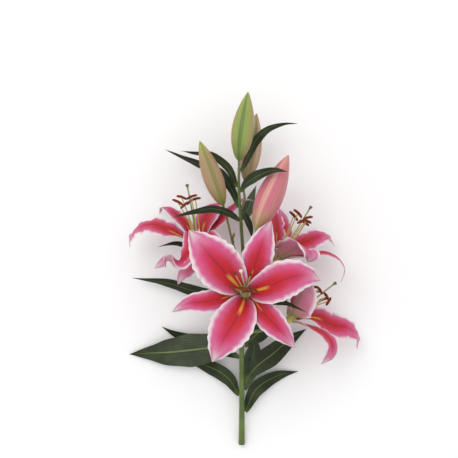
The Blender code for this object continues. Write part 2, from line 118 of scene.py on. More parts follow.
def show(name, bodies, materials):
    """One visible piece from (points, faces, material number, {attribute: values}) bodies, standing for
    the solid of its name."""
    points, faces, numbers, values, offset = [], [], [], {}, 0
    for body_points, body_faces, number, marks in bodies:
        points.append(body_points)
        faces += [[k + offset for k in face] for face in body_faces]
        numbers += [number] * len(body_faces)
        for label, given in marks.items():
            given = np.asarray(given, float).ravel()
            ends = np.repeat(given[[0, -1]], (1, len(body_points) - len(given) - 1))
            values.setdefault(label, []).append(np.concatenate([given, ends]))
        offset += len(body_points)
    points = (np.vstack(points) - ORIGIN) * MM
    mesh = bpy.data.meshes.new(name)
    mesh.from_pydata(points.tolist(), [], faces)
    for label, given in values.items():
        attribute = mesh.attributes.new(label, "FLOAT", "POINT")
        attribute.data.foreach_set("value", np.concatenate(given).astype(np.float32))
    for material in materials:
        mesh.materials.append(material)
    mesh.polygons.foreach_set("material_index", numbers)
    mesh.shade_smooth()
    obj = bpy.data.objects.new(name + "_shown", mesh)
    bpy.context.scene.collection.objects.link(obj)
    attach(obj, "root")
    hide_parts(name)
    return obj


def rgb(code):
    """An sRGB hex code as linear colour: c / 12.92 below 0.04045, else ((c + 0.055) / 1.055)^2.4."""
    c = np.array([int(code[n:n + 2], 16) for n in (1, 3, 5)]) / 255
    return (*np.where(c <= 0.04045, c / 12.92, ((c + 0.055) / 1.055) ** 2.4).tolist(), 1.0)


def node(tree, kind, inputs=(), **settings):
    """Adds a node, sets its properties, then links or fills the sockets named or numbered in inputs."""
    made = tree.nodes.new(kind)
    for key, value in settings.items():
        setattr(made, key, value)
    for key, value in dict(inputs).items():
        if isinstance(value, bpy.types.NodeSocket):
            tree.links.new(value, made.inputs[key])
        else:
            made.inputs[key].default_value = value
    return made


def calc(tree, operation, a, b=0.0):
    """One sum on two values or sockets."""
    return node(tree, "ShaderNodeMath", {0: a, 1: b}, operation=operation).outputs[0]


def band(tree, value, start, stop):
    """Smooth step: 0 at start to 1 at stop, either way round."""
    ranges = {"Value": value, "From Min": start, "From Max": stop}
    return node(tree, "ShaderNodeMapRange", ranges, interpolation_type="SMOOTHSTEP").outputs[0]


def ramp(tree, value, stops):
    """A colour ramp through (position, hex code) stops."""
    made = node(tree, "ShaderNodeValToRGB", {"Fac": value})
    elements = made.color_ramp.elements
    while len(elements) < len(stops):
        elements.new(0.5)
    for element, (position, code) in zip(elements, stops):
        element.position = position
        element.color = rgb(code)
    return made.outputs["Color"]


def mix(tree, factor, a, b):
    """Colour a turning into colour b by factor."""
    return node(tree, "ShaderNodeMix", {0: factor, 6: a, 7: b}, data_type="RGBA").outputs[2]


def mark(tree, name):
    """A value that the mesh carries at each of its points."""
    return node(tree, "ShaderNodeAttribute", attribute_name=name).outputs["Fac"]


def noise(tree, scale, stretch=(1, 1, 1), detail=3.0):
    """Noise in object space, scale cells a metre, stretched axis by axis."""
    where = node(tree, "ShaderNodeTexCoord").outputs["Object"]
    placed = node(tree, "ShaderNodeMapping", {"Vector": where, "Scale": stretch}).outputs[0]
    made = node(tree, "ShaderNodeTexNoise", {"Vector": placed, "Scale": scale, "Detail": detail})
    return made.outputs[0]


def living(name, colour_of, roughness, height=0.0003, through=0.0):
    """A plant-tissue material: colour_of(tree) gives its colour and its bump height."""
    material = bpy.data.materials.new(name)
    material.use_nodes = True
    tree = material.node_tree
    colour, relief = colour_of(tree)
    bump = node(tree, "ShaderNodeBump", {"Height": relief, "Distance": height, "Strength": 0.7}).outputs[0]
    shader = tree.nodes["Principled BSDF"]
    tree.links.new(colour, shader.inputs["Base Color"])
    tree.links.new(bump, shader.inputs["Normal"])
    shader.inputs["Roughness"].default_value = roughness
    shader.inputs["IOR"].default_value = 1.4
    if through:
        glow = node(tree, "ShaderNodeBsdfTranslucent", {"Color": colour, "Normal": bump})
        both = node(tree, "ShaderNodeMixShader", {0: through, 1: shader.outputs[0], 2: glow.outputs[0]})
        tree.links.new(both.outputs[0], tree.nodes["Material Output"].inputs["Surface"])
    return material


def stem_colours(tree):
    # Fine pale streaks run the length of the stem, over slow blotches of yellower green.
    streaks = noise(tree, 90, (14, 1, 14))
    blotches = noise(tree, 35)
    green = mix(tree, band(tree, blotches, 0.35, 0.7), rgb("#3F5126"), rgb("#5C7034"))
    return mix(tree, calc(tree, "MULTIPLY", streaks, 0.45), green, rgb("#7B8C50")), streaks


STEM_SKIN = living("lily_stem_skin", stem_colours, 0.42)

path, tangents, _ = smooth_path(STEM_PATH, STEM_ROWS)
radii = np.interp(np.linspace(0, 1, STEM_ROWS), np.linspace(0, 1, len(STEM_RADII)), STEM_RADII)
# Five faint ridges run up the stem.
ridges = 1 + 0.025 * np.cos(5 * np.arange(STEM_SIDES) * 2 * math.pi / STEM_SIDES)
rings = tube(path, tangents, radii[:, None] * ridges, STEM_SIDES)
rings[0, :, 1] += CUT_SLANT * (rings[0, :, 2] - rings[0, :, 2].min()) / (2 * radii[0])
show("stem", [(*skin_of(rings), 0, {})], [STEM_SKIN])

# ---- Flower stalks ---------------------------------------------------------------------------------
# Each open flower stands on its own green stalk, 4 to 5 mm thick, grown out of the stem above a leaf
# and thickening to the receptacle under the flower.
# Each flower: its heart, the way it opens, its stalk (height on the stem, path), its tepals (half width,
# roll in degrees at root and tip, midrib from the heart outwards), the path of its pistil, and its
# stamens (the anther's middle, the way it lies, its length).
FLOWERS = {
    "front": {
        "heart": (6, 192, 84),
        "axis": (0.0, 0.05, 1.0),
        "stalk": (154, [(7, 166, 45), (8.5, 182, 56)]),
        "petals": {
            "upper_left": (26, 0, 0, [(-4, 202, 100), (-17, 216, 113), (-32, 233, 121), (-48, 252, 121),
                (-60.4, 266.7, 112)]),
            "right": (21.5, 0, 0, [(17, 195, 100), (33, 200, 113), (51, 209, 121), (70, 213.5, 120),
                (84, 212.5, 113), (95, 207, 101)]),
            "lower": (23.5, 0, 0, [(3.5, 181, 100), (-2, 168, 113), (-13, 150, 120), (-24, 130, 118),
                (-33, 111.5, 107)]),
        },
        "sepals": {
            "top": (17.5, 0, 0, [(10, 206, 95), (15, 219, 104), (22, 240, 110), (30, 263, 107),
                (36.7, 277.6, 97)]),
            "lower_right": (14.5, 0, 0, [(17, 182.5, 95), (26, 171, 104), (39, 157, 109),
                (53, 142, 106), (65, 127, 96)]),
            "left": (12.5, 0, 0, [(-8, 189.5, 95), (-22, 186, 104), (-41, 182.5, 109), (-62, 180, 105),
                (-81, 169.5, 94)]),
        },
        "pistil": [(5.4, 200, 112), (3, 209, 132), (0.4, 219.8, 145)],
        "stamens": [((3, 199, 135), (1, -0.05, 0), 15), ((15.5, 198, 134), (0.8, -0.6, 0.1), 15),
                    ((-6.5, 216, 137), (0.1, 0.25, 1), 14), ((11.5, 215, 136), (0.1, 0.2, 1), 14),
                    ((-8.5, 199, 128), (0.6, -0.75, 0.3), 14), ((9, 195.5, 126), (1, 0.1, 0), 13)],
    },
    "left": {
        "heart": (-50.4, 247.2, 60),
        "axis": (-0.17, 0.985, -0.02),
        "stalk": (203, [(-8, 211, 50), (-30, 224, 57)]),
        "petals": {
            "far_right": (17, 0, 0, [(-44.4, 268, 50), (-40, 284, 37), (-35, 296, 20), (-33, 298, 8),
                (-32, 289, 1)]),
            "long_left": (18, -32, -20, [(-68, 257, 60), (-88.8, 267, 58), (-105.6, 273, 55),
                (-122.4, 268.8, 51), (-132.6, 256.8, 47), (-133.2, 244.8, 43)]),
            "near_right": (16, 0, 0, [(-43, 261, 70), (-37, 252, 85), (-38, 236, 91), (-50, 224, 87),
                (-66, 215, 76), (-74.6, 201, 62)]),
        },
        "sepals": {
            "far_left": (9.5, 0, 0, [(-62.6, 268.9, 47.9), (-76.8, 284.7, 35.8), (-87, 293, 22),
                (-95, 294, 11), (-99, 286, 1)]),
            "long_right": (12, 15, 15, [(-39, 258, 59), (-26, 275.4, 51.5), (-12, 291, 43),
                (3.6, 303.6, 38), (17, 302, 32)]),
            "near_left": (13, 0, 0, [(-57, 262, 71), (-57, 255, 86), (-60, 242, 92), (-71, 231, 86),
                (-88, 230, 75), (-103, 220, 60)]),
        },
        "pistil": [(-55, 275, 60), (-59, 298, 61), (-63.6, 320.6, 63)],
        "stamens": [((-70, 306, 68), (0.95, -0.3, 0.1), 14), ((-75, 300.6, 62), (0.9, -0.45, 0), 15),
                    ((-66, 297, 70), (0.75, 0.6, 0.2), 14), ((-58, 306.6, 66), (0.93, 0.36, 0), 15),
                    ((-53.5, 304, 58), (0.9, 0.25, 0.2), 14), ((-60, 301, 54), (0.6, 0.5, -0.5), 13)],
    },
    "right": {
        "heart": (43.2, 231.6, 60),
        "axis": (0.56, 0.83, 0.0),
        "stalk": (206, [(10, 212, 50), (24, 218, 56)]),
        "petals": {
            "near": (21, 0, 0, [(56, 240, 76), (69.6, 246, 88), (80, 243, 95), (84, 235, 94),
                (80, 228, 87)]),
            "far_right": (13, 22, 22, [(60, 243.6, 54), (78, 251.5, 46), (90, 256.5, 40),
                (101, 260, 34), (110, 256, 28), (116.4, 246, 22)]),
            "upper_left": (17, -15, -15, [(43, 247, 58), (43.8, 266, 54), (42, 285.6, 46),
                (34, 297, 36), (23, 298.8, 28)]),
        },
        "sepals": {
            "long_right": (13, 8, 8, [(60, 233, 61), (79.2, 235.2, 60), (98.4, 239.4, 58),
                (116.4, 234, 54), (126.6, 219.6, 48), (122.4, 202.8, 42)]),
            "far_top": (14, 0, 0, [(48, 242.4, 50), (52, 257, 38), (54, 273.6, 26), (52, 288, 12),
                (46, 296, 2)]),
            "near_left": (11, 0, 0, [(38, 247, 72), (33, 250, 86), (25, 247, 92), (18, 238, 90),
                (16, 226, 82)]),
        },
        "pistil": [(58, 252, 60), (72, 273, 61), (85, 294.4, 62)],
        "stamens": [((69.6, 286.8, 66), (0.71, -0.71, 0.1), 15), ((64.8, 283.8, 60), (0.66, -0.75, 0), 16),
                    ((81.6, 281.5, 68), (0.95, 0.23, 0.1), 13), ((74.4, 277.2, 70), (0.9, 0.3, -0.1), 13),
                    ((80.4, 277.2, 60), (0.9, -0.3, 0.2), 13), ((78, 275.6, 53), (0.86, -0.5, 0), 14)],
    },
    "lower": {
        "heart": (61.2, 160.8, 60),
        "axis": (0.79, 0.61, 0.0),
        "stalk": (138, [(10, 141, 36), (34, 147, 51)]),
        "petals": {
            "near_top": (24, 0, 0, [(66, 174, 76), (71, 186, 88), (76, 200, 95), (74, 211, 95),
                (67, 217, 88)]),
            "long_right": (17, 38, 30, [(79.2, 161.5, 56), (95.5, 159, 48), (112.8, 151.2, 42),
                (130.8, 147.6, 36), (143.4, 136.8, 30), (143.4, 119.4, 24)]),
            "far_top": (14, 0, 0, [(65, 179.5, 48), (67, 193.5, 34), (70, 205, 18), (65, 212, 6)]),
        },
        "sepals": {
            "downward": (13, 15, 35, [(72, 155, 70), (86.4, 149.5, 78), (99.6, 143, 80), (109, 132, 76),
                (109.2, 117.6, 68), (97.2, 104.4, 58)]),
            "far_right": (10, 0, 0, [(76, 167, 44), (89, 169, 30), (99, 167, 16), (106, 162.5, 6),
                (104, 156, 1.5)]),
            "hidden_left": (10, 0, 0, [(58, 175, 64), (53, 187, 74), (47, 193.5, 82), (40, 193, 86)]),
        },
        "pistil": [(78, 174, 60), (96, 188.5, 61), (114.7, 203.2, 62)],
        "stamens": [((95.4, 195, 68), (0.6, -0.8, 0.1), 13), ((89, 198, 62), (1, 0.1, 0.2), 13),
                    ((92.4, 192, 55), (0.95, 0.2, -0.2), 13), ((103.8, 187.2, 66), (0.5, -0.85, 0.1), 12),
                    ((101, 183.5, 58), (0.95, 0.3, 0.1), 12), ((107.5, 181, 51), (0.5, 0.85, 0.1), 12)],
    },
}
RECEPTACLE_RADIUS = 5.4
RECEPTACLE_BELOW = 8.0
RECEPTACLE_ABOVE = 4.0
STALK_RADII = (1.9, 1.9, 1.9, 2.0, 2.1, 2.2, 2.4, 2.6, 2.8)
STALK_ROWS = 60
STALK_SIDES = 20


def stem_seat(height, towards):
    """Two points that lead a stalk or a leaf squarely off the stem's skin at this height."""
    path, tangents, _ = smooth_path(STEM_PATH, 200)
    nearest = np.argmin(np.abs(path[:, 1] - height))
    radius = np.interp(nearest, np.linspace(0, 199, len(STEM_RADII)), STEM_RADII)
    outward = np.array(towards, float) - path[nearest]
    outward = unit(outward - np.dot(outward, tangents[nearest]) * tangents[nearest])
    skin = path[nearest] + outward * (radius + SKIN_GAP)
    return skin, skin + outward * 2


def stalk_colours(tree):
    # Smooth mid green, lighter than the stem, with faint lengthwise streaks.
    streaks = noise(tree, 160, (5, 1, 5))
    return mix(tree, band(tree, streaks, 0.3, 0.7), rgb("#4C5E2A"), rgb("#778A45")), streaks


STALK_SKIN = living("lily_flower_stalk_skin", stalk_colours, 0.42)

for flower, row in FLOWERS.items():
    axis = unit(row["axis"])
    stem_height, points = row["stalk"]
    under = np.array(row["heart"], float) - axis * (RECEPTACLE_BELOW + CLEARANCE)
    seat = stem_seat(stem_height, points[0])
    path, tangents, _ = smooth_path([*seat, *points, under - axis * 7, under], STALK_ROWS)
    tangents[0] = unit(seat[1] - seat[0])
    tangents[-1] = axis
    radii = np.interp(np.linspace(0, 1, STALK_ROWS), np.linspace(0, 1, len(STALK_RADII)), STALK_RADII)
    rings = tube(path, tangents, radii, STALK_SIDES)
    show(flower + "_flower_stalk", [(*skin_of(rings), 0, {})], [STALK_SKIN])

# ---- Petals and sepals -----------------------------------------------------------------------------
# The tepals are soft living tissue about 1 mm thick: three broad ruffled petals inside three narrower
# sepals, each on a narrow claw at the receptacle. Crimson runs up the middle and fades to white edges.
TEPAL_THICKNESS = 1.1
TEPAL_ROOT_HALF_WIDTH = 2.4
TEPAL_ROWS = 84
TEPAL_COLUMNS = 31
# Where the claws stand on the receptacle: height above the heart and distance from its axis.
PETAL_SEAT = (2.6, 6.5)
SEPAL_SEAT = (-1.2, 6.7)
# How much fuller the blades are than plain ones of their half width.
FRONT_FULLNESS = 1.06
SIDE_FULLNESS = 1.14
# Ruffles along the margins: depth and spacing in millimetres.
PETAL_RUFFLE = 1.6
SEPAL_RUFFLE = 0.5
RUFFLE_LENGTH = 19.0


def blade(path, tangents, side, half_widths, bend, roll, thickness, length, ruffle, seed):
    """A lens across a path: p(t, a) = path + w a s + (bend w a^2 + |a|^3 ruffles - 0.7 exp(-(a / 0.09)^2)
    +- th/2 (1 - a^2)^0.5) n, with s and n turned by roll. The ruffles are two waves along the length,
    ruffle (sin f + 0.5 sin 2.3 f) with f = 2 pi L t / RUFFLE_LENGTH, and the exponential is the midrib's
    groove. Returns rings, a, t and the inner-face mark."""
    rows = len(path)
    t = np.linspace(0, 1, rows)
    over = np.sin(np.linspace(-0.5, 0.5, TEPAL_COLUMNS) * math.pi)
    a = np.concatenate([over, over[-2:0:-1]])
    skin = np.concatenate([np.full(TEPAL_COLUMNS, 1.0), np.full(TEPAL_COLUMNS - 2, -1.0)])
    skin = skin * np.sqrt(np.clip(1 - a**2, 0, 1))
    side = unit(side - (tangents @ side)[:, None] * tangents)
    face = np.cross(tangents, side)
    turn = np.radians(roll)[:, None]
    side, face = side * np.cos(turn) + face * np.sin(turn), face * np.cos(turn) - side * np.sin(turn)
    phase = 2 * math.pi * length * t / RUFFLE_LENGTH
    swing = np.sin(phase[:, None] + np.where(a < 0, 1.9, 0)[None, :] + seed)
    swing = swing + 0.5 * np.sin(2.3 * phase[:, None] + np.where(a < 0, 0.7, 2.1)[None, :] + 2 * seed)
    grown = (np.clip((t - 0.18) / 0.3, 0, 1) * np.clip((1 - t) / 0.12, 0, 1))[:, None]
    wave = ruffle * swing * grown * np.abs(a)[None, :] ** 3
    wide = half_widths[:, None] * a * (1 + 0.03 * grown * np.sin(1.7 * phase[:, None] + seed))
    groove = -0.7 * np.exp(-((a / 0.09) ** 2))[None, :] * np.clip(4 * t * (1 - t), 0, 1)[:, None]
    lift = (bend * half_widths)[:, None] * a**2 + wave + groove + 0.5 * thickness[:, None] * skin
    rings = path[:, None, :] + wide[:, :, None] * side[:, None, :] + lift[:, :, None] * face[:, None, :]
    inner = np.concatenate([np.full(TEPAL_COLUMNS, 1.0), np.full(TEPAL_COLUMNS - 2, 0.0)])
    inner[[0, TEPAL_COLUMNS - 1]] = 0.6
    ones = np.ones((rows, 1))
    return rings, ones * a, t[:, None] * np.ones(len(a)), ones * inner


def tepal_colours(ridge, margin):
    """The pattern for a nectary ridge of this half width and a margin that starts here, both as parts of
    the half width."""
    def colours(tree):
        across = calc(tree, "ABSOLUTE", mark(tree, "across"))
        along = mark(tree, "along")
        fine = noise(tree, 260)
        wander = calc(tree, "MULTIPLY", calc(tree, "SUBTRACT", noise(tree, 55), 0.5), 0.12)
        t = calc(tree, "ADD", along, wander)
        # Crimson at the heart, through magenta-pink, to a pale tip.
        flesh = ramp(tree, t, ((0.0, "#B0AC58"), (0.06, "#C8553C"), (0.14, "#CF242C"), (0.48, "#D92A3C"),
                               (0.66, "#DD4478"), (0.82, "#E88DB4"), (0.94, "#F5E2E9")))
        # White margin, wider towards the tip, its inner edge feathered by the veins.
        reach = calc(tree, "ADD", across, calc(tree, "MULTIPLY", along, 0.2))
        reach = calc(tree, "ADD", reach, wander)
        flesh = mix(tree, band(tree, reach, margin - 0.36, margin + 0.22), flesh, rgb("#E070A4"))
        edge = band(tree, reach, margin + 0.08, 1.06)
        flesh = mix(tree, edge, flesh, rgb("#F8ECEF"))
        # Parallel veins, darker by a little, and a deep crimson stripe up the midrib.
        veins = calc(tree, "SINE", calc(tree, "ADD", calc(tree, "MULTIPLY", across, 75),
                                        calc(tree, "MULTIPLY", wander, 20)))
        flesh = mix(tree, calc(tree, "MULTIPLY", band(tree, veins, 0.1, 1.0), 0.16), flesh, rgb("#A0204C"))
        stripe = calc(tree, "MULTIPLY", band(tree, across, 0.38, 0.04), band(tree, along, 0.92, 0.5))
        flesh = mix(tree, calc(tree, "MULTIPLY", stripe, 0.7), flesh, rgb("#C81E2E"))
        crease = calc(tree, "MULTIPLY", band(tree, across, 0.07, 0.01), band(tree, along, 0.9, 0.5))
        flesh = mix(tree, calc(tree, "MULTIPLY", crease, 0.5), flesh, rgb("#981426"))
        # Papillae: small raised crimson dots over the lower half.
        where = node(tree, "ShaderNodeTexCoord").outputs["Object"]
        dots = node(tree, "ShaderNodeTexVoronoi", {"Vector": where, "Scale": 300}).outputs["Distance"]
        low = calc(tree, "MULTIPLY", band(tree, along, 0.62, 0.3), band(tree, across, 0.8, 0.45))
        bead = calc(tree, "MULTIPLY", band(tree, dots, 0.32, 0.12), low)
        flesh = mix(tree, calc(tree, "MULTIPLY", bead, 0.5), flesh, rgb("#7C0C1C"))
        # The orange-yellow nectary ridge that runs up from the throat.
        glow = calc(tree, "MULTIPLY", band(tree, across, ridge, 0.4 * ridge), band(tree, along, 0.36, 0.26))
        flesh = mix(tree, glow, flesh, rgb("#EBA944"))
        # The outer face: dusky pink over a greenish midrib and claw.
        back = ramp(tree, t, ((0.0, "#96A25C"), (0.14, "#CC938C"), (0.45, "#D67F9E"), (1.0, "#EBC3D0")))
        back = mix(tree, calc(tree, "MULTIPLY", band(tree, across, 0.16, 0.03), 0.6), back, rgb("#9B8F6E"))
        back = mix(tree, edge, back, rgb("#EFE0E4"))
        relief = calc(tree, "ADD", calc(tree, "MULTIPLY", veins, 0.35), calc(tree, "ADD", bead, fine))
        return mix(tree, mark(tree, "inner"), back, flesh), relief
    return colours


PETAL_SKIN = living("lily_petal", tepal_colours(0.13, 0.72), 0.5, 0.0004, 0.22)
SEPAL_SKIN = living("lily_sepal", tepal_colours(0.08, 0.74), 0.5, 0.0004, 0.22)

for flower, row in FLOWERS.items():
    heart = np.array(row["heart"], float)
    axis = unit(row["axis"])
    fullness = FRONT_FULLNESS if flower == "front" else SIDE_FULLNESS
    for kind, skin, ruffle, (height, reach) in (("petal", PETAL_SKIN, PETAL_RUFFLE, PETAL_SEAT),
                                                ("sepal", SEPAL_SKIN, SEPAL_RUFFLE, SEPAL_SEAT)):
        for number, (place, blade_row) in enumerate(row[kind + "s"].items()):
            half_width, roll_root, roll_tip, points = blade_row
            outward = np.array(points[len(points) // 2], float) - heart
            outward = unit(outward - np.dot(outward, axis) * axis)
            first = np.array(points[0], float) - heart
            first = unit(first - np.dot(first, axis) * axis)
            root = heart + axis * height + first * reach
            path, tangents, length = smooth_path([root, *points], TEPAL_ROWS)
            t = np.linspace(0, 1, TEPAL_ROWS)
            swell = np.sin(math.pi * t**0.97) ** 0.95
            widths = fullness * half_width - 0.5 * TEPAL_ROOT_HALF_WIDTH
            widths = TEPAL_ROOT_HALF_WIDTH * (1 - t) + widths * swell
            bend = 0.42 * np.clip(1 - t / 0.4, 0, 1) - 0.10 * np.clip((t - 0.4) / 0.3, 0, 1)
            roll = (roll_root + (roll_tip - roll_root) * t) * np.clip(4 * t - 0.3, 0, 1)
            rings, a, s, inner = blade(path, tangents, np.cross(axis, outward), widths, bend, roll,
                                       TEPAL_THICKNESS * (1.2 - 0.7 * t), length, ruffle, 1.3 * number)
            marks = {"across": a[:-1], "along": s[:-1], "inner": inner[:-1]}
            body = (*skin_of(rings[:-1], path[-1]), 0, marks)
            show(f"{flower}_{kind}_{place}", [body], [skin])

# ---- Stamens ---------------------------------------------------------------------------------------
# Six smooth pale filaments rise from the receptacle's rim round each pistil. Each carries a loose anther
# across its end, furred with rust-brown pollen.
FILAMENT_RING_RADIUS = 3.9
FILAMENT_RADIUS = 0.75
ANTHER_RADIUS = 1.8
RECEPTACLE_ROWS = 14
RECEPTACLE_SIDES = 28
FILAMENT_ROWS = 36
FILAMENT_SIDES = 12
ANTHER_ROWS = 30
ANTHER_SIDES = 20


def filament_colours(tree):
    # Pale green, tinged with orange by the light off the petals.
    mottle = noise(tree, 180)
    return mix(tree, mottle, rgb("#A9AC5C"), rgb("#C2A865")), mottle


def anther_colours(tree):
    # Rust-brown pollen in grains well under a millimetre, with painted shade making it darker in the folds.
    grains = noise(tree, 1400)
    fold_shade_noise = noise(tree, 220)
    rust = mix(tree, band(tree, grains, 0.35, 0.65), rgb("#5C1E0A"), rgb("#8E3C14"))
    shade = calc(tree, "MULTIPLY", band(tree, fold_shade_noise, 0.45, 0.7), 0.5)
    return mix(tree, shade, rust, rgb("#43170A")), grains


FILAMENT_SKIN = living("lily_filament", filament_colours, 0.4)
ANTHER_POLLEN = living("lily_anther_pollen", anther_colours, 0.85, 0.0005)

for flower, row in FLOWERS.items():
    heart = np.array(row["heart"], float)
    axis = unit(row["axis"])
    heights = np.linspace(-RECEPTACLE_BELOW, RECEPTACLE_ABOVE, RECEPTACLE_ROWS)
    radii = RECEPTACLE_RADIUS * np.interp(heights, (-8, -5.5, -2.5, 2.5, 4), (0.55, 0.78, 0.97, 1.0, 0.9))
    upright = np.tile(axis, (RECEPTACLE_ROWS, 1))
    rings = tube(heart + heights[:, None] * axis, upright, radii, RECEPTACLE_SIDES)
    bodies = [(*skin_of(rings), 0, {})]
    for place, lie, length in row["stamens"]:
        centre = np.array(place, float)
        outward = centre - heart
        outward = unit(outward - np.dot(outward, axis) * axis)
        root = heart + axis * (RECEPTACLE_ABOVE - 1.0) + outward * FILAMENT_RING_RADIUS
        knee = root + axis * 0.45 * np.dot(centre - root, axis) + outward * 1.5
        path, tangents, _ = smooth_path([root, knee, centre], FILAMENT_ROWS)
        radii = FILAMENT_RADIUS * np.linspace(1.25, 0.8, FILAMENT_ROWS)
        bodies.append((*skin_of(tube(path, tangents, radii, FILAMENT_SIDES)), 0, {}))
        ends = unit(lie) * length / 2
        # The anther bows by a millimetre, its ends towards the flower's heart.
        path, tangents, _ = smooth_path([centre - ends - axis, centre, centre + ends - axis], ANTHER_ROWS)
        s = np.linspace(-1, 1, ANTHER_ROWS)[:, None]
        around = np.arange(ANTHER_SIDES)[None, :] * 2 * math.pi / ANTHER_SIDES
        pod = ANTHER_RADIUS * (1 - 0.92 * s**6) * (1 - 0.16 * np.abs(np.cos(around)) ** 6)
        bodies.append((*skin_of(tube(path, tangents, pod, ANTHER_SIDES)), 1, {}))
    show(flower + "_stamens", bodies, [FILAMENT_SKIN, ANTHER_POLLEN])

# ---- Pistils ---------------------------------------------------------------------------------------
# One pistil stands in the middle of each flower: a ribbed green ovary, a slim style and a wet stigma of
# three lobes.
OVARY_RADIUS = 2.0
OVARY_LENGTH = 16.0
STYLE_RADIUS = 0.95
STIGMA_RADIUS = 2.6
PISTIL_ROWS = 90
PISTIL_SIDES = 24


def pistil_colours(style, stigma):
    """Green ovary, then these two colours for the style and the stigma."""
    def colours(tree):
        mottle = noise(tree, 320)
        stops = ((0.0, "#6F8A3C"), (0.35, style), (0.9, style), (0.96, stigma))
        tissue = ramp(tree, mark(tree, "along"), stops)
        return mix(tree, calc(tree, "MULTIPLY", mottle, 0.25), tissue, rgb("#5F6E3A")), mottle
    return colours


# The front flower's style and stigma are paler than the others'.
PISTIL_SKINS = {"front": living("lily_pistil_pale", pistil_colours("#B9C08A", "#DDE3BE"), 0.25)}

for flower, row in FLOWERS.items():
    heart = np.array(row["heart"], float)
    axis = unit(row["axis"])
    if flower not in PISTIL_SKINS:
        PISTIL_SKINS[flower] = living("lily_pistil_" + flower, pistil_colours("#8E9C72", "#5E6A4C"), 0.25)
    root = heart + axis * (RECEPTACLE_ABOVE + CLEARANCE)
    path, tangents, length = smooth_path([root, root + axis * OVARY_LENGTH, *row["pistil"]], PISTIL_ROWS)
    along = np.linspace(0, length, PISTIL_ROWS)
    swollen = np.clip((OVARY_LENGTH + 3 - along) / 6, 0, 1)
    radii = STYLE_RADIUS + (OVARY_RADIUS - STYLE_RADIUS) * swollen
    radii = radii + (STIGMA_RADIUS - STYLE_RADIUS) * np.clip((along - length + 5) / 5, 0, 1) ** 1.6
    around = np.arange(PISTIL_SIDES) * 2 * math.pi / PISTIL_SIDES
    lobes = 1 + 0.14 * np.clip((along - length + 6) / 6, 0, 1)[:, None] * np.cos(3 * around)
    rings = tube(path, tangents, radii[:, None] * lobes / 1.1, PISTIL_SIDES)
    marks = {"along": np.repeat(np.linspace(0, 1, PISTIL_ROWS)[:, None], PISTIL_SIDES, axis=1)}
    body = (*skin_of(rings, path[-1] + tangents[-1] * 1.2), 0, marks)
    show(flower + "_pistil", [body], [PISTIL_SKINS[flower]])

# ---- Buds ------------------------------------------------------------------------------------------
# Unopened flowers: firm waxy spindles of three wrapped sepals, 80 to 97 mm long, each on its own stalk.
# The topmost, still green, is the youngest, and the rosy one is about to open.
# Each bud: its stalk's height on the stem, or None on the stem's own end, the stalk's path, the bud's
# base and tip, its greatest radius and its stalk's radius.
BUDS = {
    "top": (None, [(-1.2, 342.4, 66.05)], (-1.2, 349.8, 67), (9.6, 431.4, 72), 12.4, 1.5),
    "back": (293, [(5.6, 304, 51), (4.4, 317, 46.5)], (7.2, 325.8, 44), (20.4, 408, 40), 11.5, 1.4),
    "left": (233, [(-8, 248, 55), (-15.6, 279.6, 61)], (-20.4, 296.4, 64), (-48.5, 373.2, 68), 11.2, 1.4),
    "pink": (230, [(15, 243, 64), (21, 256, 74)], (19.2, 267.6, 80), (57.6, 355.8, 80), 14.4, 1.7),
}
BUD_ROWS = 90
BUD_STALK_ROWS = 24
BUD_SIDES = 48
# Colours of the stalk end, the body, the tip and the seams between the sepals.
BUD_COLOURS = {
    "top": ("#64793A", "#8C9E50", "#9DAE5C", "#455A24"),
    "back": ("#7C7A44", "#B0987A", "#B9A47C", "#7E7048"),
    "left": ("#7E8442", "#A48A68", "#A7B24C", "#6E7038"),
    "pink": ("#9AA458", "#C76E80", "#D98E88", "#E3B39C"),
}


def bud_colours(stalk_end, body, tip, seam):
    """The pattern of one bud, in its own four colours."""
    def colours(tree):
        along = mark(tree, "along")
        mottle = noise(tree, 120, (2, 1, 2))
        wander = calc(tree, "MULTIPLY", calc(tree, "SUBTRACT", mottle, 0.5), 0.25)
        shifted = calc(tree, "ADD", along, wander)
        tissue = ramp(tree, shifted, ((0.0, stalk_end), (0.3, body), (0.72, body), (0.97, tip)))
        # Dark seams run from stalk to tip, with fine pale veins between.
        lobes = mark(tree, "lobes")
        creases = calc(tree, "MULTIPLY", band(tree, lobes, 0.82, 0.98), 0.65)
        tissue = mix(tree, creases, tissue, rgb(seam))
        # The sepals' overlapping sides blush pinkish brown.
        blush = calc(tree, "MULTIPLY", band(tree, lobes, 0.35, 0.0), 0.6)
        tissue = mix(tree, blush, tissue, rgb("#B07A6C"))
        veins = calc(tree, "SINE", calc(tree, "MULTIPLY", mark(tree, "around"), 24))
        tissue = mix(tree, calc(tree, "MULTIPLY", band(tree, veins, 0.2, 1), 0.22), tissue, rgb(tip))
        return tissue, calc(tree, "ADD", calc(tree, "MULTIPLY", veins, 0.3), mottle)
    return colours


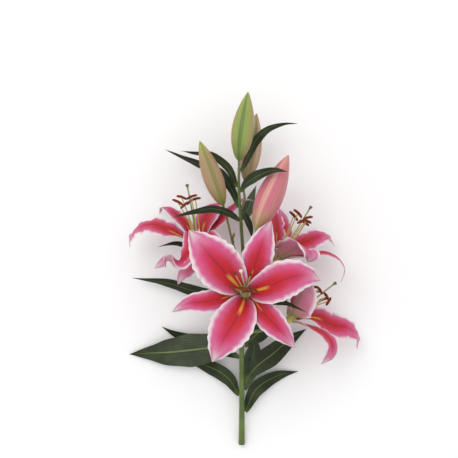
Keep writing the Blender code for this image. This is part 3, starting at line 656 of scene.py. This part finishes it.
for bud, row in BUDS.items():
    stem_height, stalk, base, tip, radius, stalk_radius = row
    base = np.array(base, float)
    tip = np.array(tip, float)
    if stem_height is not None:
        stalk = [*stem_seat(stem_height, stalk[0]), *stalk]
    stalk_path, _, _ = smooth_path([*stalk, base], BUD_STALK_ROWS)
    t = np.linspace(0, 1, BUD_ROWS)
    path = base + (tip - base) * t[:, None]
    swelling = stalk_radius * 1.3 * (1 - t) + radius * np.sin(math.pi * t**0.86) ** 0.8
    whole = np.vstack([stalk_path[:-1], path])
    tangents = unit(np.gradient(whole, axis=0))
    radii = np.concatenate([np.full(BUD_STALK_ROWS - 1, stalk_radius), swelling])
    t = np.concatenate([np.zeros(BUD_STALK_ROWS - 1), t])
    around = np.arange(BUD_SIDES) * 2 * math.pi / BUD_SIDES
    lobes = 0.5 + 0.5 * np.cos(3 * around)
    # Three seams and six shallow swells, firm from a quarter of the way up.
    firm = np.clip(4 * t, 0, 1)[:, None]
    shaped = radii[:, None] * (1 + firm * (0.04 * np.cos(6 * around) - 0.05 * lobes**14))
    rings = tube(whole[:-1], tangents[:-1], shaped[:-1], BUD_SIDES)
    ones = np.ones((len(whole) - 1, 1))
    marks = {"along": t[:-1, None] * np.ones(BUD_SIDES), "lobes": ones * lobes, "around": ones * around}
    skin = living(f"lily_{bud}_bud", bud_colours(*BUD_COLOURS[bud]), 0.36, 0.0003, 0.06)
    show(bud + "_bud", [(*skin_of(rings, whole[-1]), 0, marks)], [skin])

# The aborted bud is a dried green-brown stub a few millimetres long, on a thread of a stalk beside the
# left bud's.
ABORTED_BUD = [(-7.4, 251, 58), (-8.4, 256, 59), (-6.9, 262.5, 61)]
ABORTED_BUD_RADII = (0.8, 0.8, 0.8, 1.5, 1.0)
STUB_ROWS = 24
STUB_SIDES = 14
path, tangents, _ = smooth_path(ABORTED_BUD, STUB_ROWS)
radii = np.interp(np.linspace(0, 4, STUB_ROWS), np.arange(5), ABORTED_BUD_RADII)
stub = skin_of(tube(path, tangents, radii, STUB_SIDES))
show("aborted_bud", [(*stub, 0, {})], [STALK_SKIN])

# ---- Leaves and bracts -----------------------------------------------------------------------------
# Leathery dark green blades under 1 mm thick, each clasping the stem by its narrow foot. Parallel veins
# and a pale midrib run to the point, and the underside is greyer.
# Each leaf: its half width, how far its edges fold up, the way its upper face looks, its height on the
# stem, and its midrib from the stem outwards.
LEAVES = {
    "leaf_top_right": (5.5, 0.25, (0.2, -0.5, 1), 338, [(10, 356, 57), (19, 374, 56.5), (34, 388, 61),
        (54, 393.5, 65), (69.6, 393.6, 67)]),
    "leaf_over_pink_bud": (6.5, 0.3, (0, 0.2, 1), 314, [(9, 323, 76), (22, 331, 92), (39, 336.5, 99),
        (57, 335.2, 98)]),
    "leaf_behind_stem": (7, 0.1, (0, 0, -1), 279, [(10, 292, 38), (14.4, 306, 26), (20.4, 321.6, 20)]),
    "leaf_upper_left": (4.6, 0.25, (0, 0.3, 1), 320, [(-14.4, 341, 52), (-34.8, 357, 45),
        (-53, 359, 41), (-72, 362.4, 39)]),
    "leaf_left": (6.2, 0.25, (0.3, 0.3, 1), 296, [(-10, 315, 49), (-26, 336, 38), (-50, 346, 31),
        (-70, 355, 29), (-92, 364.8, 29)]),
    "bract_arching": (4.6, 0.3, (0, -0.3, 1), 280, [(-14.4, 287, 74), (-31, 291.5, 81),
        (-48, 289.5, 83), (-64, 286, 82), (-81.6, 280.8, 78)]),
    "bract_short": (4.2, 0.35, (0.5, 0, 1), 286, [(9, 276.5, 63), (12.5, 267, 63), (14, 256, 60)]),
    "bract_left_flower": (5.8, 0.2, (0, 0.3, 1), 196, [(-14, 212, 44), (-38, 232, 42), (-58, 244, 42),
        (-78, 250, 38), (-100.8, 245.5, 34)]),
    "leaf_long_left": (6.8, 0.2, (0, 0.3, 1), 180, [(-30, 186, 26), (-57.6, 192, 18), (-90, 201.6, 14),
        (-133.2, 207.6, 12)]),
    "leaf_broad_left": (20, 0.12, (0, 0, 1), 127, [(-24, 126, 22), (-45, 121, 17), (-87, 116, 10),
        (-116, 114.5, 6), (-137, 113, 3)]),
    "leaf_pointed_left": (8.5, 0.2, (0, 0, 1), 112, [(-25, 121, 13), (-52, 129, 7), (-78, 137.5, 5),
        (-97.2, 147.6, 3)]),
    "leaf_low_left": (9, 0.2, (0, 0, 1), 66, [(-14, 84, 11), (-36, 97, 6), (-72, 108, 3)]),
    "leaf_right_behind": (11, 0.15, (0, 0, 1), 126, [(19, 138, 31), (35, 150, 30), (54, 161, 26)]),
    "leaf_upright": (11, 0.15, (0, 0, -1), 72, [(12, 96, 12), (17.5, 118, 9), (16, 144, 7)]),
    "leaf_broad_right": (12.5, 0.2, (0, 0, 1), 84, [(20.4, 99.6, 25), (40, 114.5, 22), (54, 126, 17),
        (69.6, 136.8, 12), (82.8, 145.2, 8)]),
    "leaf_low_right": (9, 0.2, (0, 0, 1), 44, [(20, 70, 9), (45, 86, 5), (73, 92, 1.2)]),
    "bract_lower_flower": (4.8, 0.25, (0, 0.3, 1), 184, [(15, 184, 54), (25, 184, 78), (40, 182, 92),
        (57, 179, 97), (79, 169, 95)]),
}
LEAF_THICKNESS = 0.8
LEAF_ROOT_HALF_WIDTH = 1.9
LEAF_RIPPLE = 0.5
LEAF_ROWS = 72


def leaf_colours(tree):
    across = calc(tree, "ABSOLUTE", mark(tree, "across"))
    along = mark(tree, "along")
    blotch = noise(tree, 45)
    veins = calc(tree, "SINE", calc(tree, "MULTIPLY", across, 44))
    green = mix(tree, band(tree, blotch, 0.35, 0.7), rgb("#2A3320"), rgb("#414D32"))
    green = mix(tree, calc(tree, "MULTIPLY", band(tree, veins, 0.2, 1), 0.3), green, rgb("#5A6A44"))
    green = mix(tree, band(tree, across, 0.08, 0.02), green, rgb("#74884F"))
    green = mix(tree, band(tree, along, 0.12, 0.0), green, rgb("#6B7F3F"))
    lines = calc(tree, "MULTIPLY", band(tree, veins, 0.2, 1), 0.4)
    under = mix(tree, lines, rgb("#55684C"), rgb("#71836A"))
    under = mix(tree, band(tree, across, 0.1, 0.03), under, rgb("#8C9C7A"))
    return mix(tree, mark(tree, "inner"), under, green), calc(tree, "ADD", veins, blotch)


LEAF_SKIN = living("lily_leaf", leaf_colours, 0.38, 0.0004, 0.1)

for number, (leaf, (half_width, fold, upper, stem_height, points)) in enumerate(LEAVES.items()):
    seat = stem_seat(stem_height, points[0])
    path, tangents, length = smooth_path([*seat, *points], LEAF_ROWS)
    tangents[0] = unit(seat[1] - seat[0])
    t = np.linspace(0, 1, LEAF_ROWS)
    swell = np.sin(math.pi * t**0.85) ** 1.15
    widths = LEAF_ROOT_HALF_WIDTH * (1 - t) + (half_width - 0.5 * LEAF_ROOT_HALF_WIDTH) * swell
    side = unit(np.cross(np.array(upper, float), unit(path[-1] - path[0])))
    rings, a, s, inner = blade(path, tangents, side, widths, np.full(LEAF_ROWS, fold), 0 * t,
                               LEAF_THICKNESS * (1.2 - 0.6 * t), 0.35 * length, LEAF_RIPPLE, 0.9 * number)
    marks = {"across": a[:-1], "along": s[:-1], "inner": inner[:-1]}
    show(leaf, [(*skin_of(rings[:-1], path[-1]), 0, marks)], [LEAF_SKIN])

# ---- Stage -----------------------------------------------------------------------------------------
# A plain white tabletop under the spray, wide soft light from above, and a camera looking straight down.
TABLE_HALF = 6.0
TABLE_WHITE = (0.93, 0.93, 0.93, 1)
SKY_STRENGTH = 0.98
LAMP_SIZE = 1.4
LAMP_POWER = 15
LAMP_PLACE = (-0.9, 1.1, 2.3)
CAMERA_PLACE = (-0.0172, 0.0516, 2.0595)
CAMERA_LENS = 131
corners = [(-TABLE_HALF, -TABLE_HALF, 0), (TABLE_HALF, -TABLE_HALF, 0), (TABLE_HALF, TABLE_HALF, 0),
           (-TABLE_HALF, TABLE_HALF, 0)]
floor_mesh = bpy.data.meshes.new("tabletop")
floor_mesh.from_pydata(corners, [], [(0, 1, 2, 3)])
floor = bpy.data.objects.new("tabletop", floor_mesh)
bpy.context.scene.collection.objects.link(floor)
white = bpy.data.materials.new("white_tabletop")
white.use_nodes = True
shader = white.node_tree.nodes["Principled BSDF"]
shader.inputs["Base Color"].default_value = TABLE_WHITE
shader.inputs["Roughness"].default_value = 1.0
floor_mesh.materials.append(white)

world = bpy.data.worlds.new("soft_daylight")
bpy.context.scene.world = world
world.use_nodes = True
sky = world.node_tree.nodes["Background"]
sky.inputs["Color"].default_value = (1, 1, 1, 1)
sky.inputs["Strength"].default_value = SKY_STRENGTH

lamp_data = bpy.data.lights.new("softbox", "AREA")
lamp_data.shape = "SQUARE"
lamp_data.size = LAMP_SIZE
lamp_data.energy = LAMP_POWER
lamp = bpy.data.objects.new("softbox", lamp_data)
lamp.location = LAMP_PLACE
lamp.rotation_euler = (math.radians(-25), math.radians(-21), 0)
bpy.context.scene.collection.objects.link(lamp)

camera_data = bpy.data.cameras.new("camera")
camera_data.lens = CAMERA_LENS
camera_data.sensor_width = 36
camera = bpy.data.objects.new("camera", camera_data)
camera.location = CAMERA_PLACE
bpy.context.scene.collection.objects.link(camera)
bpy.context.scene.camera = camera
bpy.context.scene.view_settings.view_transform = "Standard"
